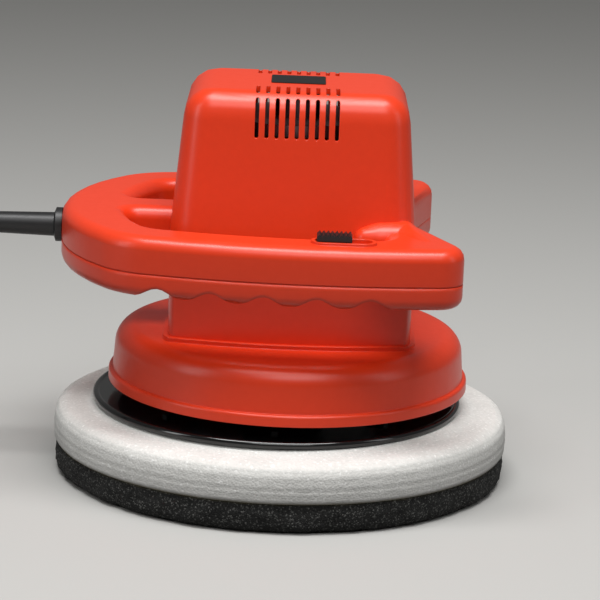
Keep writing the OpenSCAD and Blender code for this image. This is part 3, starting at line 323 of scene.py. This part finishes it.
# Woven strap: mid grey and matt, with threads 1 mm apart
STRAP_WEB = Finish("grey_woven_strap", "5b5c5e", "47484a", 1.0, 0.8, 0.08, pattern=Pattern.WOUND,
                   bump_mm=0.12)
# Nickel plated brass of the pins: warm, smooth and bright
NICKEL = Finish("nickel_plated_brass", "c9c5b8", "bdb8aa", 1.5, 0.22, 0.05, metallic=1.0, bump_mm=0.004)
# Zinc plated steel screws: bluish, slightly mottled
ZINC_STEEL = Finish("zinc_plated_steel", "aeb2b8", "999da4", 1.0, 0.32, 0.08, metallic=1.0, bump_mm=0.01)
# Ground bearing steel: bright, with fine turned lines that are drawn coarser than life so that they show
BEARING_STEEL = Finish("ground_bearing_steel", "b9bcc2", "a6a9b0", 0.6, 0.2, 0.05, metallic=1.0,
                       pattern=Pattern.TURNED, bump_mm=0.004)
# Blackened steel of the orbit drive: dark grey with a dull gleam
BLACK_STEEL = Finish("blackened_steel", "4a4b4f", "3c3d41", 1.4, 0.4, 0.07, metallic=1.0, bump_mm=0.01)
# Stacked electrical sheet: the edge of each 0.5 mm sheet shows
LAMINATION = Finish("stacked_electrical_sheet", "6a6c72", "46484d", 0.5, 0.42, 0.1, metallic=1.0,
                    pattern=Pattern.LAYERED, bump_mm=0.05)
# Enamelled copper wire: reddish brown and bright, laid in turns of about 0.6 mm
COPPER_WIRE = Finish("enamelled_copper_wire", "b5632f", "8c4520", 0.6, 0.3, 0.08, metallic=1.0,
                     pattern=Pattern.WOUND, bump_mm=0.12)
# Die-cast aluminium: grey, soft flow marks
DIE_CAST = Finish("die_cast_aluminium", "8d9094", "7f8286", 2.5, 0.45, 0.08, metallic=1.0, bump_mm=0.03)
# Sintered bronze of the bush: dull, with pores that are drawn coarser than life
SINTERED_BRONZE = Finish("sintered_bronze", "a9783f", "8f6332", 0.4, 0.45, 0.08, metallic=1.0, bump_mm=0.02)
# Phenolic resin of the brush gear: tan and slightly clouded
PHENOLIC = Finish("tan_phenolic_resin", "b59468", "a48459", 1.6, 0.5, 0.07, bump_mm=0.02)
# Pressed carbon: matt black with a fine grain
CARBON = Finish("pressed_carbon", "1a1a1b", "262627", 0.5, 0.55, 0.1, bump_mm=0.02)
# Natural nylon of the fan: milky white with a satin skin
FAN_NYLON = Finish("natural_nylon", "d9d8d2", "cbcac3", 1.5, 0.5, 0.06, bump_mm=0.02)
# Dipped epoxy of the capacitor: glossy yellow
CAPACITOR_EPOXY = Finish("yellow_epoxy", "cf9f2a", "c29321", 4.0, 0.28, 0.05, bump_mm=0.02)
# PVC insulation of the inner wires: brown with a dull shine
WIRE_PVC = Finish("brown_pvc_insulation", "6a3c20", "5c331a", 1.5, 0.45, 0.06, bump_mm=0.01)

# The finish of each CAD node that stays
NODE_FINISHES = {
    PLATE_PC: ("backing_plate",),
    BLACK_NYLON: ("switch_body", "switch_button", "cord_clamp", "plug_body"),
    RATING_FILM: ("rating_plate",),
    CORD_PVC: ("cord_guard",),
    STRAP_WEB: ("coil_tie",),
    NICKEL: ("plug_pins",),
    ZINC_STEEL: ("housing_screws", "skirt_screws", "motor_screws", "clamp_screws", "stator_bolts",
                 "counterweight_screws"),
    BEARING_STEEL: ("lower_bearing_outer", "lower_bearing_inner", "lower_bearing_balls", "pad_bearing_inner",
                    "pad_bearing_balls", "pad_bearing_outer", "motor_shaft", "pad_washer", "brush_springs"),
    BLACK_STEEL: ("bearing_circlip", "pad_screw", "eccentric_hub", "counterweight"),
    LAMINATION: ("stator_core", "armature_core"),
    COPPER_WIRE: ("field_coils", "armature_windings", "commutator"),
    DIE_CAST: ("motor_bracket", "brush_bracket"),
    SINTERED_BRONZE: ("upper_bush",),
    PHENOLIC: ("brush_holders", "brush_caps"),
    CARBON: ("carbon_brushes",),
    FAN_NYLON: ("cooling_fan",),
    CAPACITOR_EPOXY: ("capacitor",),
    WIRE_PVC: ("inner_wires",),
}


def dress(obj: bpy.types.Object, material: bpy.types.Material) -> None:
    """Gives every face of an object one material."""
    obj.data.materials.clear()
    obj.data.materials.append(material)


def link_mesh(name: str, shape: bmesh.types.BMesh) -> bpy.types.Object:
    """Turns a finished bmesh into an object at the origin.

    Args:
        name: The piece's name.
        shape: The finished bmesh, which is freed.

    Returns:
        The linked object.
    """
    data = bpy.data.meshes.new(name)
    shape.to_mesh(data)
    shape.free()
    obj = bpy.data.objects.new(name, data)
    bpy.context.scene.collection.objects.link(obj)
    return obj


def adopt(obj: bpy.types.Object, body: str, nodes: tuple[str, ...]) -> None:
    """Puts a new piece on its body in place of CAD nodes.

    Args:
        obj: The finished piece.
        body: The CAD body that it moves with.
        nodes: The CAD nodes that it stands for, if any.
    """
    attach(obj, body)
    if nodes:
        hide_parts(*nodes)
    LOG.info("%s rides on %s and stands for %s", obj.name, body, ", ".join(nodes) or "no solid of its own")


@dataclass
class PhotoCamera:
    """The photograph's camera: a long lens a little above the machine.

    Args:
        place: The lens.
        pitch_deg: Tilt downwards.
        roll_deg: Turn about the line of sight.
        focal_px: Focal length in pixels of the photograph.
        frame_px: Width and height of the photograph.
        centre_px: Where the line of sight meets the photograph.
        sensor_mm: Width of the sensor.
    """

    place: Point = (0.0, -1.060, 0.321)
    pitch_deg: float = 13.4
    roll_deg: float = 2.24
    focal_px: float = 2757.0
    frame_px: float = 600.0
    centre_px: tuple[float, float] = (290.2, 300.1)
    sensor_mm: float = 36.0

    def build(self) -> None:
        """Makes the camera the scene's own."""
        data = bpy.data.cameras.new("photo_camera")
        data.sensor_width = self.sensor_mm
        data.lens = self.focal_px * self.sensor_mm / self.frame_px
        data.shift_x = (self.frame_px / 2 - self.centre_px[0]) / self.frame_px
        data.shift_y = (self.centre_px[1] - self.frame_px / 2) / self.frame_px
        camera = bpy.data.objects.new("photo_camera", data)
        tilt = Euler((math.radians(90 - self.pitch_deg), 0, 0)).to_matrix().to_4x4()
        roll = Matrix.Rotation(math.radians(self.roll_deg), 4, "Z")
        camera.matrix_world = Matrix.Translation(self.place) @ tilt @ roll
        bpy.context.scene.collection.objects.link(camera)
        bpy.context.scene.camera = camera


@dataclass
class MainsCord:
    """The mains cord: out of the guard, down to the floor, wound in a coil, and on to the plug.

    Args:
        diameter: Thickness of the cord.
        coil_centre: Middle of the coil on the floor.
        coil_turns: Turns in each of the two layers.
        coil_short: Share of a turn by which the upper layer ends early, on the plug's side.
        coil_outer: Radius at which the coil begins.
        coil_pitch: Distance between turns.
        coil_layer: Height of the upper layer over the lower one.
        coil_rise: Share of a turn in which the cord climbs to the upper layer.
        coil_steps: Points in a turn.
        floor_z: Height of the lower layer's middle line.
        lead_mm: Route from the guard to the coil.
        tail_mm: Route from the coil to the plug.
        spline_steps: Points between two points of a route.
        round_steps: Resolution of the cord's round section.
    """

    diameter: float = 6.5 * MM
    coil_centre: tuple[float, float] = (-190 * MM, 44 * MM)
    coil_turns: int = 3
    coil_short: float = 0.5
    coil_outer: float = 50 * MM
    coil_pitch: float = 8.0 * MM
    coil_layer: float = 7.4 * MM
    coil_rise: float = 0.25
    coil_steps: int = 48
    floor_z: float = 4.75 * MM
    lead_mm: tuple[Point, ...] = (
        (-70, 0, 95.5), (-95, 0, 95.5), (-120, 0, 95.5), (-138, 0, 93), (-155, -2, 86), (-170, -5, 73),
        (-182, -8, 56), (-192, -11, 38), (-202, -14, 22), (-213, -16, 11), (-226, -14, 6),
        (-235.5, -5, 4.75), (-240, 10, 4.75), (-240, 25, 4.75), (-240, 37.5, 4.75))
    tail_mm: tuple[Point, ...] = (
        (-144, 37.5, 12.15), (-144, 26, 12.15), (-144, 16, 11), (-144, 4, 8), (-144, -6, 6.85),
        (-144, -14, 6.85))
    spline_steps: int = 6
    round_steps: int = 6

    def spline(self, points_mm: tuple[Point, ...]) -> list[Vector]:
        """Runs a Catmull-Rom line through given points.

        Args:
            points_mm: The points in millimetres.

        Returns:
            Close points on the line, in metres.
        """
        points = [Vector(p) * MM for p in points_mm]
        line = []
        for i in range(len(points) - 1):
            a, b, c, d = (points[max(0, min(i + k, len(points) - 1))] for k in (-1, 0, 1, 2))
            for s in range(self.spline_steps):
                t = s / self.spline_steps
                line.append(0.5 * (2 * b + (c - a) * t + (2 * a - 5 * b + 4 * c - d) * t ** 2
                                   + (3 * b - a - 3 * c + d) * t ** 3))
        return line + [points[-1]]

    def coil(self) -> list[Vector]:
        """Winds in along the lower layer and out again along the upper one.

        Returns:
            Close points on the line, in metres.
        """
        turns = 2 * self.coil_turns - self.coil_short
        inner = self.coil_outer - self.coil_turns * self.coil_pitch
        line = []
        for i in range(int(turns * self.coil_steps) + 1):
            u = i / self.coil_steps
            radius = inner + self.coil_pitch * abs(u - self.coil_turns)
            angle = math.pi - math.tau * u
            lift = self.coil_layer * min(1, max(0, (u - self.coil_turns) / self.coil_rise))
            line.append(Vector((self.coil_centre[0] + radius * math.cos(angle),
                                self.coil_centre[1] + radius * math.sin(angle), self.floor_z + lift)))
        return line

    def build(self) -> None:
        route = self.spline(self.lead_mm) + self.coil() + self.spline(self.tail_mm)
        data = bpy.data.curves.new("mains_cord", "CURVE")
        data.dimensions = "3D"
        data.bevel_depth = self.diameter / 2
        data.bevel_resolution = self.round_steps
        data.use_fill_caps = True
        line = data.splines.new("POLY")
        line.points.add(len(route) - 1)
        for point, place in zip(line.points, route):
            point.co = (*place, 1)
        line.use_smooth = True
        cord = bpy.data.objects.new("mains_cord", data)
        bpy.context.scene.collection.objects.link(cord)
        dress(cord, CORD_PVC.material())
        adopt(cord, "machine", ("cord_lead", "cord_coil", "cord_tail"))


@dataclass
class RedShells:
    """The three red mouldings and the ridges that run out from the upper one's webs.

    Args:
        sharp_deg: Angle from which an edge stays sharp.
        flat_deg: Angle up to which two faces become one.
        merge_mm: Distance up to which vertices become one.
        ridge_mm: Place and radius of the balls that the front ridge spans.
        ridge_segments: Segments round such a ball.
        rear_shift_mm: How far along X the rear ridge lies from the front one.
    """

    sharp_deg: float = 40.0
    flat_deg: float = 0.6
    merge_mm: float = 0.001
    ridge_mm: tuple[tuple[float, float, float, float], ...] = (
        (42, -35, 102.4, 6.6), (33, -36.5, 102.2, 6.4), (28, -37.5, 102.4, 4.6))
    ridge_segments: int = 32
    rear_shift_mm: float = -3.5

    def build(self) -> None:
        """Makes each moulding from its CAD node, and the two ridges."""
        finishes = {"upper_housing": RED_ABS, "lower_housing": SOFT_ABS, "skirt": RED_ABS}
        for node, finish in finishes.items():
            shell = self.soften(node)
            dress(shell, finish.material())
            adopt(shell, "machine", (node,))
        for name, side, shift in (("front", 1, 0.0), ("rear", -1, self.rear_shift_mm)):
            ridge = self.ridge(f"{name}_web_ridge", side, shift)
            dress(ridge, RED_ABS.material())
            adopt(ridge, "machine", ())

    def ridge(self, name: str, side: int, shift_mm: float) -> bpy.types.Object:
        """Makes the ridge that runs out from a web along the foot of the cover.

        Args:
            name: The piece's name.
            side: 1 for the front, -1 for the rear.
            shift_mm: Shift along X.

        Returns:
            The ridge.
        """
        shape = bmesh.new()
        for x, y, z, radius in self.ridge_mm:
            place = Matrix.Translation(Vector((x + shift_mm, y * side, z)) * MM)
            bmesh.ops.create_uvsphere(shape, u_segments=self.ridge_segments,
                                      v_segments=self.ridge_segments // 2, radius=radius * MM, matrix=place)
        # Only the balls' points make the hull, so their faces don't stay inside it
        bmesh.ops.delete(shape, geom=shape.edges[:] + shape.faces[:], context="EDGES_FACES")
        bmesh.ops.convex_hull(shape, input=shape.verts[:])
        bmesh.ops.delete(shape, geom=[v for v in shape.verts if not v.link_faces], context="VERTS")
        bmesh.ops.recalc_face_normals(shape, faces=shape.faces)
        for face in shape.faces:
            face.smooth = True
        return link_mesh(name, shape)

    def soften(self, node: str) -> bpy.types.Object:
        """Copies a CAD node, merges its triangles and smooths its rounded faces.

        Args:
            node: The CAD node's name.

        Returns:
            The softened shell.
        """
        shape = bmesh.new()
        shape.from_mesh(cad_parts[node].data)
        bmesh.ops.remove_doubles(shape, verts=shape.verts, dist=self.merge_mm * MM)
        bmesh.ops.dissolve_limit(shape, angle_limit=math.radians(self.flat_deg), verts=shape.verts,
                                 edges=shape.edges)
        for face in shape.faces:
            face.smooth = True
        for edge in shape.edges:
            edge.smooth = edge.is_manifold and edge.calc_face_angle(0) < math.radians(self.sharp_deg)
        shell = link_mesh(f"{node}_shell", shape)
        normals = shell.modifiers.new("even_normals", "WEIGHTED_NORMAL")
        normals.keep_sharp = True
        return shell


@dataclass
class FoamPad:
    """The pad: a white foam disc glued on a coarser dark one, both cut by hand and a little uneven.

    Args:
        spin_steps: Steps round a disc.
        step_mm: Length of the steps along its outline.
        fine_from: Radius beyond which a stretch of the outline has to end to be cut into these steps.
        merge_mm: Distance up to which vertices become one.
        core_mm: Radius of the plain middle of the working face and of the glue joint.
        seat_mm: Radius of the plain middle under the backing plate.
        press_mm: How far the white brim lies below the face under the backing plate.
        press_out_mm: Distance from the backing plate's edge out to the brim.
        press_in_mm: Distance from that edge in to the face under the plate.
        white_side_mm: Inset and height over the glue joint along the white disc's side.
        white_shoulder_mm: Inset and height over the brim along its rounded shoulder.
        dark_side_mm: Inset and height over the working face along the dark disc's side.
        dark_neck_mm: Inset and height over the glue joint where that side ends.
        rough_from: Radius from which the cut faces are uneven.
        flat_mm: Depth of the top and bottom faces, which stay flat.
        swells_per_m: Broad swells per metre.
        swell_share: Share of the unevenness in them.
        dents_per_m: Dents per metre.
        cells_per_m: Burst cells per metre.
        cell_share: Share of the unevenness in them.
        sink_share: Share of the unevenness by which the cut faces lie further in than the outline.
        white_rough_mm: Depth of the white disc's unevenness.
        white_dents: Share of it in dents.
        dark_rough_mm: Depth of the dark disc's unevenness.
        dark_dents: Share of it in dents.
        white: Finish of the white disc.
        dark: Finish of the dark disc.
    """

    spin_steps: int = 420
    step_mm: float = 1.2
    fine_from: float = 0.05
    merge_mm: float = 0.01
    core_mm: float = 60
    seat_mm: float = 40
    press_mm: float = 1.3
    press_out_mm: float = 4
    press_in_mm: float = 2
    white_side_mm: tuple[tuple[float, float], ...] = ((1.2, 0), (0.3, 0.8), (0, 4.6), (0.2, 5.4), (0, 6.2))
    white_shoulder_mm: tuple[tuple[float, float], ...] = ((0.5, -4), (1.8, -1.6), (4.2, -0.3), (7, 0))
    dark_side_mm: tuple[tuple[float, float], ...] = ((4.5, 0), (2.2, 0.8), (0.8, 3.0), (0.5, 8))
    dark_neck_mm: tuple[tuple[float, float], ...] = ((1.2, -0.3), (1.8, 0))
    rough_from: float = 0.072
    flat_mm: float = 0.05
    swells_per_m: float = 25
    swell_share: float = 0.45
    dents_per_m: float = 170
    cells_per_m: float = 700
    cell_share: float = 0.3
    sink_share: float = 0.5
    white_rough_mm: float = 0.36
    white_dents: float = 0.1
    dark_rough_mm: float = 1.0
    dark_dents: float = 0.6
    # Each foam's colours: cell walls, painted pore shade, painted highlights on cell rims, then the glue
    white: FoamFinish = FoamFinish(
        "white_open_cell_foam", "dcdbd7", "cbcac6", "e8e7e4", 0.8, 0.14, 0.1, "a5986c")
    dark: FoamFinish = FoamFinish(
        "dark_coarse_foam", "2e2e2d", "111111", "656562", 0.5, 0.3, 0.22, "5f583e")

    def disc(self, outline_mm: list[tuple[float, float]], axis_x: float) -> bmesh.types.BMesh:
        """Spins an outline into a disc.

        Args:
            outline_mm: Radius and height of the outline's points, from the axis out and back.
            axis_x: Place of the pad's axis along X.

        Returns:
            The closed disc, with its normals outwards.
        """
        shape = bmesh.new()
        verts = [shape.verts.new((axis_x + r * MM, 0, z * MM)) for r, z in outline_mm]
        edges = [shape.edges.new(pair) for pair in zip(verts, verts[1:])]
        for edge in edges:
            cuts = int(edge.calc_length() / (self.step_mm * MM))
            if cuts and edge.verts[1].co.x > axis_x + self.fine_from:
                bmesh.ops.subdivide_edges(shape, edges=[edge], cuts=cuts)
        bmesh.ops.spin(shape, geom=shape.verts[:] + shape.edges[:], cent=(axis_x, 0, 0), axis=(0, 0, 1),
                       angle=math.tau, steps=self.spin_steps, use_merge=True)
        bmesh.ops.remove_doubles(shape, verts=shape.verts, dist=self.merge_mm * MM)
        bmesh.ops.recalc_face_normals(shape, faces=shape.faces)
        shape.normal_update()
        return shape

    def roughen(self, shape: bmesh.types.BMesh, axis_x: float, rough_mm: float, dents: float) -> None:
        """Makes a disc's cut faces uneven, each disc in its own way.

        Args:
            shape: The disc.
            axis_x: Place of the pad's axis along X.
            rough_mm: Depth of the unevenness.
            dents: Share of that in dents about 6 mm across, which also picks the place in the noise.
        """
        low = min(v.co.z for v in shape.verts)
        high = max(v.co.z for v in shape.verts)
        for vert in shape.verts:
            radius = math.hypot(vert.co.x - axis_x, vert.co.y)
            depth = min(vert.co.z - low, high - vert.co.z)
            if radius < self.rough_from or depth < self.flat_mm * MM:
                continue
            spot = vert.co + Vector((0, 0, dents))
            wave = (noise.noise(spot * self.swells_per_m) * self.swell_share
                    + noise.noise(spot * self.dents_per_m) * dents
                    + noise.noise(spot * self.cells_per_m) * self.cell_share)
            vert.co += vert.normal * (wave - self.sink_share) * rough_mm * MM
        for face in shape.faces:
            face.smooth = True

    def build(self) -> None:
        low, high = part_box("white_foam")
        axis_x = (low[0] + high[0]) / 2
        radius = (high[0] - low[0]) / 2 / MM
        glue = low[2] / MM
        top = high[2] / MM
        brim = top - self.press_mm
        plate = (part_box("backing_plate")[1][1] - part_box("backing_plate")[0][1]) / 2 / MM
        shape = self.disc([
            (0, glue), (self.core_mm, glue),
            *((radius - inset, glue + rise) for inset, rise in self.white_side_mm),
            *((radius - inset, brim + rise) for inset, rise in self.white_shoulder_mm),
            (plate + self.press_out_mm, brim), (plate - self.press_in_mm, top),
            (self.seat_mm, top), (0, top)], axis_x)
        self.roughen(shape, axis_x, self.white_rough_mm, self.white_dents)
        white = link_mesh("white_foam_disc", shape)
        dress(white, self.white.material())
        adopt(white, "pad", ("white_foam",))
        shape = self.disc([
            (0, 0), (self.core_mm, 0),
            *((radius - inset, rise) for inset, rise in self.dark_side_mm),
            *((radius - inset, glue + rise) for inset, rise in self.dark_neck_mm),
            (self.core_mm, glue), (0, glue)], axis_x)
        self.roughen(shape, axis_x, self.dark_rough_mm, self.dark_dents)
        dark = link_mesh("dark_foam_disc", shape)
        dress(dark, self.dark.material())
        adopt(dark, "pad", ("dark_foam",))


@dataclass
class Studio:
    """A plain pale floor under soft light.

    Args:
        floor_size: Width of the floor.
        floor_colour: sRGB hex of the floor as it is seen.
        floor_roughness: Roughness of the floor.
        bounce_colour: sRGB hex of the floor for the light that it throws back up.
        world_colour: sRGB hex of the room.
        world_strength: Strength of the room's light.
        lamps: Name, place, width and height, and watts of each lamp.
        aim: The point that the lamps face.
    """

    floor_size: float = 12.0
    floor_colour: str = "b4b3b0"
    floor_roughness: float = 0.8
    bounce_colour: str = "484746"
    world_colour: str = "eeeeec"
    world_strength: float = 0.2
    lamps: tuple[tuple[str, Point, tuple[float, float], float], ...] = (
        ("overhead_softbox", (0.0, -0.25, 1.15), (1.0, 0.4), 15.0),
        ("front_fill", (0.1, -1.1, 1.25), (0.9, 0.6), 6.5),
        ("right_strip", (0.95, -0.35, 0.5), (0.2, 0.7), 0.9),
        ("left_strip", (-0.95, -0.45, 0.45), (0.2, 0.7), 1.8))
    aim: Point = (0.0, 0.0, 0.08)

    def paper(self) -> bpy.types.Material:
        """Makes a pale floor paper that throws only a little light back up.

        Returns:
            The floor's material.
        """
        made = bpy.data.materials.new("pale_paper_floor")
        made.use_nodes = True
        tree = made.node_tree
        rays = add_node(tree, "ShaderNodeLightPath", {}, {})
        seen = rays.outputs["Is Camera Ray"]
        for kind in ("Is Glossy Ray", "Is Transmission Ray"):
            either = add_node(tree, "ShaderNodeMath", {"operation": "MAXIMUM"},
                              {0: seen, 1: rays.outputs[kind]})
            seen = either.outputs[0]
        colour = add_node(tree, "ShaderNodeMix", {"data_type": "RGBA"}, {
            MIX_FACTOR: seen, MIX_FIRST: linear(self.bounce_colour), MIX_SECOND: linear(self.floor_colour)})
        shader = tree.nodes["Principled BSDF"]
        tree.links.new(colour.outputs[MIX_RESULT], shader.inputs["Base Color"])
        shader.inputs["Roughness"].default_value = self.floor_roughness
        return made

    def build(self) -> None:
        """Makes the floor, the lamps and the world."""
        shape = bmesh.new()
        bmesh.ops.create_grid(shape, x_segments=1, y_segments=1, size=self.floor_size / 2)
        floor = link_mesh("floor", shape)
        dress(floor, self.paper())
        for name, place, (wide, tall), watts in self.lamps:
            data = bpy.data.lights.new(name, "AREA")
            data.shape = "RECTANGLE"
            data.size = wide
            data.size_y = tall
            data.energy = watts
            lamp = bpy.data.objects.new(name, data)
            lamp.location = place
            lamp.rotation_euler = (Vector(self.aim) - Vector(place)).to_track_quat("-Z", "Y").to_euler()
            bpy.context.scene.collection.objects.link(lamp)
        world = bpy.data.worlds.new("soft_room")
        world.use_nodes = True
        sky = world.node_tree.nodes["Background"]
        sky.inputs["Color"].default_value = linear(self.world_colour)
        sky.inputs["Strength"].default_value = self.world_strength
        bpy.context.scene.world = world
        bpy.context.scene.view_settings.view_transform = "Standard"


def dress_nodes() -> None:
    """Gives every CAD node that stays its finish."""
    for finish, names in NODE_FINISHES.items():
        for name in names:
            dress(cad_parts[name], finish.material())
            LOG.info("%s is %s", name, finish.name)


def main() -> None:
    """Builds the scene in order."""
    logging.basicConfig(level=logging.INFO)
    PhotoCamera().build()
    MainsCord().build()
    RedShells().build()
    FoamPad().build()
    dress_nodes()
    Studio().build()


if __name__ == "__main__":
    main()
